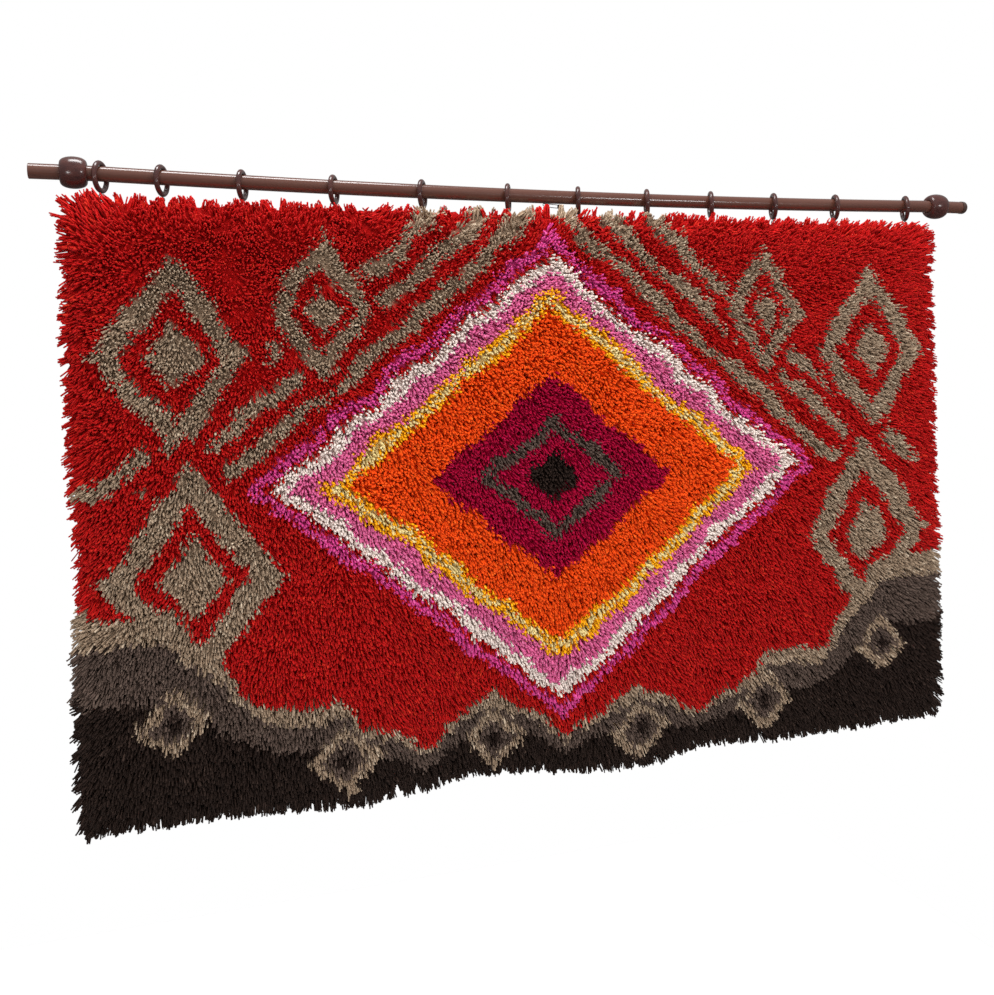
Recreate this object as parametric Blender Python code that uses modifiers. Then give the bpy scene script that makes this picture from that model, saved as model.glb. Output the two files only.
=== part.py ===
"""A shag wall rug that hangs by rings from a curtain rod.

The rug is one thick slab of pile, lumpy over its face and with locks of yarn round its rim. Rings with small
wire eyes slide on a rod that sags a little under the load, and a wire hook in each eye holds the rug's backing.
Units are metres, +Z is up, +X runs along the rod, and the rug faces -Y. The origin lies midway between the
centres of the rod's two ends, a little above the rod's sagging middle.
"""

import math
import random
from collections import namedtuple

import bmesh
import bpy
from mathutils import Matrix, Vector

SEED = 11
GAP = 0.0003  # between pieces that touch

# Rod, its round cap on the right end, and the two finials that the rod passes through. It sags in a parabola
# between the finials and is straight beyond them.
ROD_LENGTH = 1.640
ROD_DIAMETER = 0.022
ROD_SAG = 0.009
ROD_SPAN = 0.738  # from the middle to where the sag begins
ROD_STEPS = 24
ROD_BEVEL = 10  # gives 24 sides
CAP_LENGTH = 0.013
CAP_DIAMETER = 0.0232
FINIAL_DIAMETER = 0.046
FINIAL_LENGTH = 0.037
FINIAL_FACE_DIAMETER = 0.026
FINIAL_ROUNDNESS = 0.8
FINIALS = {"finial_left": -0.7600, "finial_right": 0.7505}
TURNED_STEPS = 20

# Rings, the wire eye under each, and the hook that goes through the eye
RING_OUTER_DIAMETER = 0.0475
RING_WIRE = 0.0078
RING_PLAY = 0.0005  # between the rod's top and the ring that hangs on it
RING_SEGMENTS = (20, 7)
EYE_OUTER_DIAMETER = 0.0090
EYE_WIRE = 0.0018
EYE_SEGMENTS = (10, 5)
HOOK_WIRE = 0.0014

# Where each ring hangs along the rod, and how far it has turned about the vertical, in degrees
Ring = namedtuple("Ring", "x turn")
RINGS = (
    Ring(-0.7240, -21),
    Ring(-0.6395, -22),
    Ring(-0.5240, -20),
    Ring(-0.3860, -24),
    Ring(-0.2450, -26),
    Ring(-0.1010, -23),
    Ring(0.0225, -21),
    Ring(0.1490, -21),
    Ring(0.2720, -23),
    Ring(0.3980, -20),
    Ring(0.5270, -20),
    Ring(0.6810, -25),
)

# The hook's wire seen from the side, from its front tip, through the eye, down behind the backing. Heights are
# from the eye's centre.
HookPoint = namedtuple("HookPoint", "y z")
HOOK_ROUTE = (
    HookPoint(-0.0036, -0.0044),
    HookPoint(-0.0036, -0.0024),
    HookPoint(-0.0023, -0.0010),
    HookPoint(0.0, -0.0006),
    HookPoint(0.0024, -0.0013),
    HookPoint(0.0034, -0.0042),
    HookPoint(0.0022, -0.0130),
    HookPoint(0.0006, -0.0220),
    HookPoint(0.0006, -0.0520),
)

# Pile without its rim locks: the slab's edges, its thickness, and how it thins at the rim
PILE_LEFT = -0.762
PILE_RIGHT = 0.707
PILE_TOP = -0.053
PILE_BOTTOM = -0.935
PILE_BACK = -0.001
PILE_THICKNESS = 0.029
RIM_THICKNESS = 0.021
RIM_ROUNDING = 0.040
CORNER_SAG = 0.003
CELLS_ACROSS = 41
CELLS_DOWN = 24
LUMP_DEPTH = 0.0045
LUMP_SHIFT = 0.006

# How the hem hangs: at each place along it, how far it swings forward and how far it drops
Hem = namedtuple("Hem", "x forward drop")
HEM = (
    Hem(-0.78, 0.000, 0.006),
    Hem(-0.60, 0.006, 0.001),
    Hem(-0.38, 0.024, 0.005),
    Hem(-0.20, -0.009, -0.004),
    Hem(-0.10, -0.002, -0.001),
    Hem(0.02, 0.015, 0.009),
    Hem(0.11, 0.014, 0.012),
    Hem(0.23, 0.003, -0.003),
    Hem(0.38, 0.008, 0.002),
    Hem(0.50, -0.002, 0.006),
    Hem(0.62, -0.004, 0.003),
    Hem(0.73, 0.004, 0.003),
)
SWING_POWER = 1.5

# How the two sides wave: at each share of the height down from the top, how far each lies to the right
Side = namedtuple("Side", "down left right")
SIDES = (
    Side(0.00, -0.001, -0.005),
    Side(0.25, -0.002, -0.001),
    Side(0.48, 0.000, -0.001),
    Side(0.62, 0.006, 0.003),
    Side(0.74, -0.004, 0.003),
    Side(1.00, -0.006, 0.003),
)

# Locks of yarn round the rim: reach beyond the slab, the tip's share of the root, and how far a tip strays
LOCK_REACH = (0.012, 0.020)
TOP_LOCK_REACH = (0.011, 0.0165)
LOCK_TIP = Vector((0.30, 0.30, 0.30))
LOCK_STRAY = 0.004
LOCK_DROOP = 0.003
LOCK_FORWARD = (0.001, 0.005)
CORNER_FAN = 0.006
CORNER_REACH = 0.05

# Safety pin between the sixth and seventh rings, and the lock that it is stuck through
PIN_CENTRE = Vector((-0.026, -0.0045, -0.0246))
PIN_LENGTH = 0.032
PIN_HEIGHT = 0.005
PIN_WIRE = 0.0012
PIN_TILT = math.radians(5.0)
PIN_COIL_RADIUS = 0.0022
PIN_COIL_STEPS = 8
PIN_CLEAR = 0.0006  # between the pin's lower wire and the lock's tip
CLASP_SIZE = (0.0065, 0.0024, 0.0072)

COLOURS = {
    "pile": ((0.52, 0.012, 0.010), 0.95, 0.0),
    "rod_brown": ((0.155, 0.070, 0.055), 0.38, 0.6),
    "ring_brown": ((0.060, 0.018, 0.014), 0.25, 0.1),
    "wire": ((0.10, 0.09, 0.085), 0.35, 1.0),
}


def material(name):
    """The Principled material of that name, made once."""
    found = bpy.data.materials.get(name)
    if found:
        return found
    colour, roughness, metallic = COLOURS[name]
    made = bpy.data.materials.new(name)
    made.use_nodes = True
    shader = made.node_tree.nodes["Principled BSDF"]
    shader.inputs["Base Color"].default_value = (*colour, 1.0)
    shader.inputs["Roughness"].default_value = roughness
    shader.inputs["Metallic"].default_value = metallic
    return made


def add_object(name, data, finish, collection):
    """Puts mesh or curve data into the collection as an object with its material."""
    piece = bpy.data.objects.new(name, data)
    if not data.materials:
        data.materials.append(material(finish))
    collection.objects.link(piece)
    return piece


def turned(name, profile, finish, collection, closed):
    """A turned piece with its axis along X, from a profile of (radius, place along the axis) points."""
    mesh = bpy.data.meshes.new(name)
    points = [(radius, 0.0, along) for radius, along in profile]
    edges = [(i, i + 1) for i in range(len(points) - 1)]
    if closed:
        edges.append((len(points) - 1, 0))
    mesh.from_pydata(points, edges, [])
    piece = add_object(name, mesh, finish, collection)
    piece.rotation_euler = (0.0, math.pi / 2, 0.0)
    screw = piece.modifiers.new("Turn", "SCREW")
    screw.steps = TURNED_STEPS
    screw.render_steps = TURNED_STEPS
    screw.use_merge_vertices = True
    screw.merge_threshold = 0.00005
    screw.use_smooth_shade = True
    return piece


def wire(name, points, thickness, finish, collection, bevel=1):
    """A bent wire with round section and closed ends."""
    curve = bpy.data.curves.new(name, "CURVE")
    curve.dimensions = "3D"
    curve.bevel_depth = thickness / 2
    curve.bevel_resolution = bevel
    curve.use_fill_caps = True
    curve.twist_mode = "Z_UP"
    spline = curve.splines.new("POLY")
    spline.points.add(len(points) - 1)
    for target, point in zip(spline.points, points):
        target.co = (*point, 1.0)
    return add_object(name, curve, finish, collection)


def torus_mesh(name, outer_diameter, thickness, segments):
    """A round ring of wire about Z, as a mesh to be shared."""
    bpy.ops.mesh.primitive_torus_add(
        major_segments=segments[0],
        minor_segments=segments[1],
        major_radius=(outer_diameter - thickness) / 2,
        minor_radius=thickness / 2,
    )
    maker = bpy.context.object
    mesh = maker.data
    mesh.name = name
    mesh.shade_smooth()
    bpy.data.objects.remove(maker)
    return mesh


def sag_at(x):
    """How far the rod has sagged at a place along it."""
    return ROD_SAG * max(0.0, 1.0 - (x / ROD_SPAN) ** 2)


def build_rod(collection):
    """The rod with a flat left end, and its round cap on the right."""
    right_end = ROD_LENGTH / 2 - CAP_LENGTH
    between = [ROD_SPAN * (2 * i / ROD_STEPS - 1) for i in range(ROD_STEPS + 1)]
    places = [-ROD_LENGTH / 2, *between, right_end]
    route = [(x, 0.0, -sag_at(x)) for x in places]
    wire("rod", route, ROD_DIAMETER, "rod_brown", collection, bevel=ROD_BEVEL)

    cap_radius = CAP_DIAMETER / 2
    dome = CAP_LENGTH * 0.6
    start = right_end + GAP
    skirt = CAP_LENGTH - dome - GAP
    rise = [math.radians(a) for a in range(90, 0, -15)]
    profile = [(cap_radius * math.cos(a), skirt + dome * math.sin(a)) for a in rise]
    profile += [(cap_radius, skirt), (cap_radius, 0.0), (0.0, 0.0)]
    profile[0] = (0.0, skirt + dome)
    cap = turned("rod_cap", profile, "rod_brown", collection, closed=False)
    cap.location.x = start


def build_finials(collection):
    """Two like barrel-shaped finials, bored through for the rod."""
    half = FINIAL_LENGTH / 2
    face = FINIAL_FACE_DIAMETER / 2
    bulge = FINIAL_DIAMETER / 2 - face
    bore = ROD_DIAMETER / 2 + GAP
    turns = [math.radians(a) for a in range(90, -91, -20)]
    outer = [(face + bulge * math.cos(a) ** FINIAL_ROUNDNESS, half * math.sin(a)) for a in turns]
    outer[0] = (face, half)
    outer[-1] = (face, -half)
    profile = outer + [(bore, -half), (bore, half)]
    for name, place in FINIALS.items():
        finial = turned(name, profile, "ring_brown", collection, closed=True)
        finial.location.x = place


def build_rings(collection):
    """The rings on the rod, each with its eye and its hook, all turned alike about the vertical."""
    ring_mesh = torus_mesh("ring", RING_OUTER_DIAMETER, RING_WIRE, RING_SEGMENTS)
    eye_mesh = torus_mesh("eye", EYE_OUTER_DIAMETER, EYE_WIRE, EYE_SEGMENTS)
    inner = RING_OUTER_DIAMETER / 2 - RING_WIRE
    drop = inner - ROD_DIAMETER / 2 - RING_PLAY
    eye_drop = drop + RING_OUTER_DIAMETER / 2 + GAP + EYE_OUTER_DIAMETER / 2
    for number, ring in enumerate(RINGS, start=1):
        turn = math.radians(ring.turn)
        sag = sag_at(ring.x)
        hung = add_object(f"ring_{number:02d}", ring_mesh, "ring_brown", collection)
        hung.location = (ring.x, 0.0, -drop - sag)
        hung.rotation_euler = (0.0, math.pi / 2, turn)
        eye = add_object(f"eye_{number:02d}", eye_mesh, "wire", collection)
        eye.location = (ring.x, 0.0, -eye_drop - sag)
        eye.rotation_euler = (math.pi / 2, 0.0, turn)
        route = [(0.0, p.y, p.z) for p in HOOK_ROUTE]
        hook = wire(f"hook_{number:02d}", route, HOOK_WIRE, "wire", collection)
        hook.location = (ring.x, 0.0, -eye_drop - sag)
        hook.rotation_euler.z = turn


def build_pin(collection):
    """A closed safety pin: one wire bent at a coil, and the clasp that holds both its ends."""
    half = PIN_LENGTH / 2
    rise = PIN_HEIGHT / 2
    clasp_length, clasp_depth, clasp_height = CLASP_SIZE
    coil_x = -half + PIN_COIL_RADIUS
    wire_end = half - clasp_length - GAP
    angles = [math.radians(60 + 240 * i / PIN_COIL_STEPS) for i in range(PIN_COIL_STEPS + 1)]
    coil = [(coil_x + PIN_COIL_RADIUS * math.cos(a), 0.0, PIN_COIL_RADIUS * math.sin(a)) for a in angles]
    route = [(wire_end, 0.0, rise), *coil, (wire_end, 0.0, -rise)]
    tilt = Matrix.Rotation(PIN_TILT, 4, "Y")
    bent = wire("pin_wire", route, PIN_WIRE, "wire", collection)
    bent.matrix_world = Matrix.Translation(PIN_CENTRE) @ tilt

    mesh = bpy.data.meshes.new("pin_clasp")
    block = bmesh.new()
    bmesh.ops.create_cube(block, size=1.0)
    bmesh.ops.scale(block, vec=(clasp_length, clasp_depth, clasp_height), verts=block.verts)
    block.to_mesh(mesh)
    block.free()
    clasp = add_object("pin_clasp", mesh, "wire", collection)
    place = Matrix.Translation((half - clasp_length / 2, 0.0, 0.0))
    clasp.matrix_world = Matrix.Translation(PIN_CENTRE) @ tilt @ place
    bevel = clasp.modifiers.new("Edges", "BEVEL")
    bevel.width = 0.0006
    bevel.segments = 2


def between_rows(table, place):
    """The values of a table at a place, eased between its rows. The first column holds the rows' places."""
    before, after = table[0], table[1]
    for row, following in zip(table, table[1:]):
        if place >= row[0]:
            before, after = row, following
    share = min(1.0, max(0.0, (place - before[0]) / (after[0] - before[0])))
    share = share * share * (3 - 2 * share)
    return [a + share * (b - a) for a, b in zip(before[1:], after[1:])]


def slab_point(across, up, depth, strays):
    """A point of the slab: shares of its width, height and thickness, the last from back to front."""
    down = 1.0 - up
    left, right = between_rows(SIDES, down)
    x = PILE_LEFT + across * (PILE_RIGHT - PILE_LEFT)
    x += left * (1.0 - across) ** 3 + right * across**3
    forward, drop = between_rows(HEM, x)
    z = PILE_TOP - down * (PILE_TOP - PILE_BOTTOM)
    z -= drop * down * down + CORNER_SAG * (2 * across - 1) ** 6 * up
    reach = min(x - PILE_LEFT, PILE_RIGHT - x, PILE_TOP - z, z - PILE_BOTTOM)
    inward = min(1.0, max(0.0, reach / RIM_ROUNDING))
    thickness = RIM_THICKNESS + (PILE_THICKNESS - RIM_THICKNESS) * math.sin(inward * math.pi / 2)
    y = PILE_BACK - forward * down**SWING_POWER - depth * thickness
    if depth > 0 and 0 < across < 1 and 0 < up < 1:
        y += LUMP_DEPTH * strays.uniform(-1, 1)
        x += LUMP_SHIFT * strays.uniform(-1, 1)
        z += LUMP_SHIFT * strays.uniform(-1, 1)
    return Vector((x, y, z))


def cut_edges(slab, along, cuts):
    """Cuts all edges that run along one axis of the unit block into equal lengths."""
    edges = [e for e in slab.edges if abs((e.verts[0].co - e.verts[1].co)[along]) > 0.5]
    bmesh.ops.subdivide_edges(slab, edges=edges, cuts=cuts, use_grid_fill=True)


def lock_tip(root, outward, strays):
    """Where the tip of a lock comes that grows from a place on the rim. Near a corner the locks fan out."""
    top = outward.z > 0.5
    reach = TOP_LOCK_REACH if top else LOCK_REACH
    tip = root + outward * strays.uniform(*reach)
    to_side = min(root.x - PILE_LEFT, PILE_RIGHT - root.x)
    stray = strays.uniform(-LOCK_STRAY, LOCK_STRAY)
    if abs(outward.z) > 0.5:
        fan = max(0.0, 1.0 - to_side / CORNER_REACH)
        tip.x += stray + CORNER_FAN * fan * math.copysign(1.0, root.x)
    else:
        fan = max(0.0, 1.0 - (root.z - PILE_BOTTOM) / CORNER_REACH)
        tip.z += stray - LOCK_DROOP - CORNER_FAN * fan
    tip.y -= strays.uniform(*LOCK_FORWARD)
    return tip


def pull_lock(face, tip):
    """Draws an extruded rim face out into the tapered tip of a lock."""
    root = face.calc_center_median()
    for vert in face.verts:
        offset = vert.co - root
        vert.co = tip + Vector(a * b for a, b in zip(offset, LOCK_TIP))


def build_rug(collection):
    """The rug as one closed slab: a unit block cut into cells, shaped, then drawn out in locks at its rim."""
    strays = random.Random(SEED)
    slab = bmesh.new()
    bmesh.ops.create_cube(slab, size=1.0)
    cut_edges(slab, 0, CELLS_ACROSS - 1)
    cut_edges(slab, 2, CELLS_DOWN - 1)

    slab.normal_update()
    sides = [f for f in slab.faces if abs(f.normal.y) < 0.5]
    long_edges = {e for f in sides for e in f.edges if abs((e.verts[0].co - e.verts[1].co).y) < 0.5}
    bmesh.ops.subdivide_edges(slab, edges=list(long_edges), cuts=1, use_grid_fill=True)
    slab.normal_update()
    rim = [(f, f.normal.copy()) for f in slab.faces if abs(f.normal.y) < 0.5]
    for vert in slab.verts:
        across, depth, up = vert.co.x + 0.5, 0.5 - vert.co.y, vert.co.z + 0.5
        vert.co = slab_point(across, up, depth, strays)

    roots = [face.calc_center_median() for face, _ in rim]
    tips = [lock_tip(root, outward, strays) for root, (_, outward) in zip(roots, rim)]
    pinned = min(range(len(rim)), key=lambda i: (roots[i] - PIN_CENTRE).length)
    tips[pinned] = PIN_CENTRE - Vector((0.0, 0.0, (PIN_HEIGHT + PIN_WIRE) / 2 + PIN_CLEAR))
    for (face, _), tip in zip(rim, tips):
        pull_lock(bmesh.ops.extrude_discrete_faces(slab, faces=[face])["faces"][0], tip)

    mesh = bpy.data.meshes.new("rug")
    slab.to_mesh(mesh)
    slab.free()
    mesh.shade_smooth()
    mesh.set_sharp_from_angle(angle=math.radians(50))
    add_object("rug", mesh, "pile", collection)


def main():
    """Clears the scene and builds the rug on its rod."""
    for old in list(bpy.data.objects):
        bpy.data.objects.remove(old)
    collection = bpy.data.collections.new("wall_rug")
    bpy.context.scene.collection.children.link(collection)
    build_rod(collection)
    build_finials(collection)
    build_rings(collection)
    build_pin(collection)
    build_rug(collection)


if __name__ == "__main__":
    main()
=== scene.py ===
"""Dresses a shag wall rug that hangs by rings from a curtain rod.

The pile is real yarn: each knot of the canvas gives three cut strands, in the colour that the chart names for
its place. The rod, finials, rings, eyes, hooks and pin are turned or swept where the frame has them.
Everything is in metres, +Z is up, and the rug faces -Y.
"""

from __future__ import annotations

import logging
import math
from collections.abc import Sequence
from dataclasses import dataclass, field
from enum import Enum

import bpy
import numpy as np
from mathutils import Matrix, Vector


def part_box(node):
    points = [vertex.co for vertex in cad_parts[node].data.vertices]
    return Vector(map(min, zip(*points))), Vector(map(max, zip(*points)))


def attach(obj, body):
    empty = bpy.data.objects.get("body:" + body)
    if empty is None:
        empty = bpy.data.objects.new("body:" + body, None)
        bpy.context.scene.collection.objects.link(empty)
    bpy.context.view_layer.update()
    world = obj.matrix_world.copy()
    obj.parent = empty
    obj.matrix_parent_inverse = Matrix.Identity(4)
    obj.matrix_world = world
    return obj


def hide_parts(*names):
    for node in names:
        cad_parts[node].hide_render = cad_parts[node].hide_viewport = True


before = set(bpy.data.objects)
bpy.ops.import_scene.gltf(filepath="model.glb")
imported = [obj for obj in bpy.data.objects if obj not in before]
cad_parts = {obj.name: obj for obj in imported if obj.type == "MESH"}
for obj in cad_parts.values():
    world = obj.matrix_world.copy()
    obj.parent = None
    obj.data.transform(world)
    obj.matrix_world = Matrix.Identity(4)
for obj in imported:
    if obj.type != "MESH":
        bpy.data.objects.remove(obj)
LOG = logging.getLogger("wall_rug")
BODY = "root"
Colour = tuple[float, float, float]
Triple = tuple[float, float, float]


def linear(red: int, green: int, blue: int) -> Colour:
    """A screen colour, 0 to 255 a channel, as linear light."""
    parts = [c / 255 for c in (red, green, blue)]
    return tuple(c / 12.92 if c <= 0.04045 else ((c + 0.055) / 1.055) ** 2.4 for c in parts)


class Signal:
    """A number that a node gives. Arithmetic on it adds Math nodes beside that node."""

    def __init__(self, graph: Tree, socket: bpy.types.NodeSocket) -> None:
        """Wraps an output socket.

        Args:
            graph: The nodes that new ones join.
            socket: The output that carries the number.
        """
        self.graph = graph
        self.socket = socket

    def _math(self, operation: str, first: Signal | float, second: Signal | float) -> Signal:
        """A Math node on two values."""
        node = self.graph.node("ShaderNodeMath", {"operation": operation}, {0: first, 1: second})
        return Signal(self.graph, node.outputs[0])

    def __add__(self, other: Signal | float) -> Signal:
        """self + other."""
        return self._math("ADD", self, other)

    def __radd__(self, other: float) -> Signal:
        """other + self."""
        return self._math("ADD", other, self)

    def __sub__(self, other: Signal | float) -> Signal:
        """self - other."""
        return self._math("SUBTRACT", self, other)

    def __rsub__(self, other: float) -> Signal:
        """other - self."""
        return self._math("SUBTRACT", other, self)

    def __mul__(self, other: Signal | float) -> Signal:
        """self * other."""
        return self._math("MULTIPLY", self, other)

    def __rmul__(self, other: float) -> Signal:
        """other * self."""
        return self._math("MULTIPLY", other, self)

    def sine(self) -> Signal:
        """The sine of the value, in radians."""
        return self._math("SINE", self, 0.0)

    def size(self) -> Signal:
        """The value without its sign."""
        return self._math("ABSOLUTE", self, 0.0)

    def power(self, exponent: float) -> Signal:
        """The value to a power."""
        return self._math("POWER", self, exponent)

    def above(self, level: float) -> Signal:
        """1 where the value is above a level, and else 0."""
        return self._math("GREATER_THAN", self, level)


class Tree:
    """The nodes of a material or of the surroundings."""

    def __init__(self, tree: bpy.types.NodeTree) -> None:
        """Takes the nodes as they are."""
        self.tree = tree

    def node(self, kind: str, settings: dict[str, object], inputs: dict[str | int, object]) -> bpy.types.Node:
        """Adds any node.

        Args:
            kind: Blender's name of the node's type.
            settings: Its properties, set first. "stops" are a ramp's (place, colour) pairs.
            inputs: A value, an output socket or a Signal for each named or numbered input.

        Returns:
            The new node.
        """
        made = self.tree.nodes.new(kind)
        for name, value in settings.items():
            if name == "stops":
                self._set_stops(made.color_ramp, value)
            else:
                setattr(made, name, value)
        for name, value in inputs.items():
            self.feed(made.inputs[name], value)
        return made

    def _set_stops(self, ramp: bpy.types.ColorRamp, stops: Sequence[tuple[float, Colour]]) -> None:
        """Gives a ramp its stops in place of its own two."""
        while len(ramp.elements) < len(stops):
            ramp.elements.new(0.5)
        for element, (place, colour) in zip(ramp.elements, stops):
            element.position = place
            element.color = (*colour, 1.0)

    def feed(self, socket: bpy.types.NodeSocket, value: object) -> None:
        """Sets an input to a constant, or links it."""
        if isinstance(value, Signal):
            self.tree.links.new(value.socket, socket)
        elif isinstance(value, bpy.types.NodeSocket):
            self.tree.links.new(value, socket)
        elif isinstance(value, tuple) and len(value) == 3 and socket.type == "RGBA":
            socket.default_value = (*value, 1.0)
        else:
            socket.default_value = value


class Graph(Tree):
    """A material's nodes, with its Principled shader."""

    def __init__(self, name: str) -> None:
        """Makes the material.

        Args:
            name: The material's name.
        """
        self.material = bpy.data.materials.new(name)
        self.material.use_nodes = True
        super().__init__(self.material.node_tree)
        self.shader = self.tree.nodes["Principled BSDF"]

    def attribute(self, name: str) -> Signal:
        """A number kept on the mesh's points."""
        return Signal(self, self.node("ShaderNodeAttribute", {"attribute_name": name}, {}).outputs["Fac"])

    def dye(self) -> bpy.types.NodeSocket:
        """The yarn's colour kept on the mesh's points."""
        return self.node("ShaderNodeAttribute", {"attribute_name": "dye"}, {}).outputs["Color"]

    def place(self) -> bpy.types.NodeSocket:
        """The place on the piece, in metres."""
        return self.node("ShaderNodeTexCoord", {}, {}).outputs["Object"]

    def noise(self, scale: float, detail: float = 2.0, stretch: Triple = (1.0, 1.0, 1.0)) -> Signal:
        """Soft noise in the piece's space.

        Args:
            scale: Features for each metre.
            detail: Octaves of finer noise.
            stretch: Factors on the three axes, below 1 where streaks run.

        Returns:
            The noise, from 0 to 1.
        """
        place = self.node("ShaderNodeMapping", {}, {"Vector": self.place(), "Scale": stretch}).outputs[0]
        inputs = {"Vector": place, "Scale": scale, "Detail": detail}
        return Signal(self, self.node("ShaderNodeTexNoise", {}, inputs).outputs["Fac"])

    def ramp(self, value: Signal, stops: Sequence[tuple[float, Colour]]) -> bpy.types.NodeSocket:
        """A colour for each value, blended between stops."""
        return self.node("ShaderNodeValToRGB", {"stops": stops}, {"Fac": value}).outputs["Color"]

    def blend(self, share: Signal, first: object, second: object, mode: str = "MIX") -> bpy.types.NodeSocket:
        """Mixes two colours by a share."""
        settings = {"data_type": "RGBA", "blend_type": mode}
        return self.node("ShaderNodeMix", settings, {0: share, 6: first, 7: second}).outputs[2]

    def grey(self, value: Signal) -> bpy.types.NodeSocket:
        """A number as a grey colour."""
        return self.node("ShaderNodeCombineColor", {}, {0: value, 1: value, 2: value}).outputs[0]

    def shaded(self, colour: object, value: Signal) -> bpy.types.NodeSocket:
        """A colour times a number."""
        return self.blend(1.0, colour, self.grey(value), "MULTIPLY")

    def bump(self, height: Signal, strength: float, distance: float) -> None:
        """Raises the surface by a height, to be seen in its shading.

        Args:
            height: From 0 to 1.
            strength: How much of the effect shows.
            distance: The height in metres.
        """
        inputs = {"Height": height, "Strength": strength, "Distance": distance}
        self.set({"Normal": self.node("ShaderNodeBump", {}, inputs).outputs["Normal"]})

    def set(self, inputs: dict[str, object]) -> None:
        """Sets or links the Principled shader's inputs, by name."""
        for name, value in inputs.items():
            self.feed(self.shader.inputs[name], value)


@dataclass(frozen=True)
class YarnFinish:
    """Wool yarn of one dye lot: its three tones, how full it is spun, and how far its middle tone reaches."""

    label: str
    deep: Colour
    middle: Colour
    light: Colour
    girth: float = 1.0
    even: float = 0.2

    def make(self) -> bpy.types.Material:
        """The yarn's material: a tone for each strand, with fibre over it, and painted light and shade along
        the strand.
        """
        graph = Graph(f"yarn_{self.label}")
        low, high = 0.5 - self.even / 2, 0.5 + self.even / 2
        stops = [(0.0, self.deep), (low, self.middle), (high, self.middle), (1.0, self.light)]
        dyed = graph.ramp(graph.attribute("tone"), stops)
        fibre = graph.noise(700.0, 3.0)
        # painted light towards the root and painted shade on the cut end
        colour = graph.shaded(dyed, (fibre * 0.3 + 0.85) * self.painted_fibre_shading(graph))
        graph.set({"Base Color": colour, "Roughness": 0.8, "Specular IOR Level": 0.15})
        graph.bump(graph.noise(1500.0, 2.0), 0.6, 0.0006)
        return graph.material

    def painted_fibre_shading(self, graph: Graph) -> Signal:
        """Painted light and shade along a strand: highest deep down, as painted light scattered among fibres,
        and least on the cut end, as painted shade.
        """
        reach = graph.attribute("reach")
        return 1.5 - reach * 0.5 - reach.power(6.0) * 0.2


FULL = 1.3


class Yarn(Enum):
    """The yarns of the rug. The bright ones are spun fuller."""

    RED = YarnFinish("red", linear(122, 4, 8), linear(177, 18, 17), linear(220, 60, 34))
    TAUPE = YarnFinish("taupe", linear(96, 78, 64), linear(154, 131, 109), linear(228, 209, 184), even=0.1)
    DARK = YarnFinish("dark", linear(18, 11, 9), linear(42, 30, 25), linear(78, 61, 53))
    UMBER = YarnFinish("umber", linear(56, 44, 38), linear(90, 74, 66), linear(134, 116, 104))
    PINK = YarnFinish("pink", linear(186, 66, 116), linear(216, 100, 148), linear(236, 150, 182), FULL)
    LILAC = YarnFinish("lilac", linear(164, 32, 100), linear(206, 66, 136), linear(232, 122, 178), FULL)
    WHITE = YarnFinish("white", linear(208, 188, 178), linear(232, 215, 206), linear(246, 235, 226), FULL)
    GOLD = YarnFinish("gold", linear(206, 122, 6), linear(242, 168, 14), linear(252, 204, 60), FULL)
    CREAM = YarnFinish("cream", linear(196, 166, 100), linear(226, 204, 140), linear(246, 232, 188), FULL)
    ORANGE = YarnFinish("orange", linear(196, 44, 6), linear(232, 76, 12), linear(248, 118, 36), FULL)
    CRIMSON = YarnFinish("crimson", linear(112, 0, 30), linear(160, 0, 48), linear(200, 20, 84))


@dataclass(frozen=True)
class RodFinish:
    """Satin brown lacquer on steel, with faint rubbing along it."""

    label: str = "rod_lacquer"
    colour: Colour = linear(64, 37, 30)
    rubbed: Colour = linear(88, 55, 44)

    def make(self) -> bpy.types.Material:
        """The lacquer's material."""
        graph = Graph(self.label)
        streak = graph.noise(90.0, 3.0, (0.06, 1.0, 1.0))
        speck = graph.noise(500.0, 2.0)
        colour = graph.blend(streak * 0.7 + speck * 0.2 - 0.1, self.colour, self.rubbed)
        graph.set({"Base Color": colour, "Roughness": streak * 0.1 + 0.16, "Specular IOR Level": 0.5})
        graph.set({"Coat Weight": 0.3, "Coat Roughness": 0.12})
        graph.bump(speck, 0.01, 0.0001)
        return graph.material


@dataclass(frozen=True)
class MahoganyFinish:
    """Polished mahogany stain on turned wood: fine grain under a glossy coat."""

    deep: Colour = linear(32, 15, 17)
    warm: Colour = linear(84, 43, 34)

    def make(self) -> bpy.types.Material:
        """The stained wood's material."""
        graph = Graph("mahogany_gloss")
        grain = graph.noise(300.0, 3.0, (0.12, 1.0, 1.0))
        cloud = graph.noise(60.0, 2.0)
        colour = graph.blend(grain * 0.5 + cloud * 0.6 - 0.22, self.deep, self.warm)
        graph.set({"Base Color": colour, "Roughness": grain * 0.1 + 0.2, "Specular IOR Level": 0.5})
        graph.set({"Coat Weight": 0.3, "Coat Roughness": 0.13})
        graph.bump(grain, 0.03, 0.0001)
        return graph.material


@dataclass(frozen=True)
class WireFinish:
    """Dulled steel wire."""

    label: str
    colour: Colour
    roughness: float

    def make(self) -> bpy.types.Material:
        """The wire's material."""
        graph = Graph(self.label)
        tarnish = graph.noise(900.0, 3.0)
        colour = graph.shaded(self.colour, tarnish * 0.8 + 0.5)
        graph.set({"Base Color": colour, "Roughness": tarnish * 0.3 + self.roughness, "Metallic": 1.0})
        graph.bump(tarnish, 0.2, 0.0001)
        return graph.material


@dataclass(frozen=True)
class ThreadFinish:
    """Waxed sewing thread."""

    colour: Colour = linear(120, 40, 36)

    def make(self) -> bpy.types.Material:
        """The thread's material."""
        graph = Graph("sewing_thread")
        twist = graph.noise(2400.0, 2.0)
        graph.set({"Base Color": graph.shaded(self.colour, twist * 0.6 + 0.7), "Roughness": 0.6})
        graph.bump(twist, 0.4, 0.0001)
        return graph.material


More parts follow.
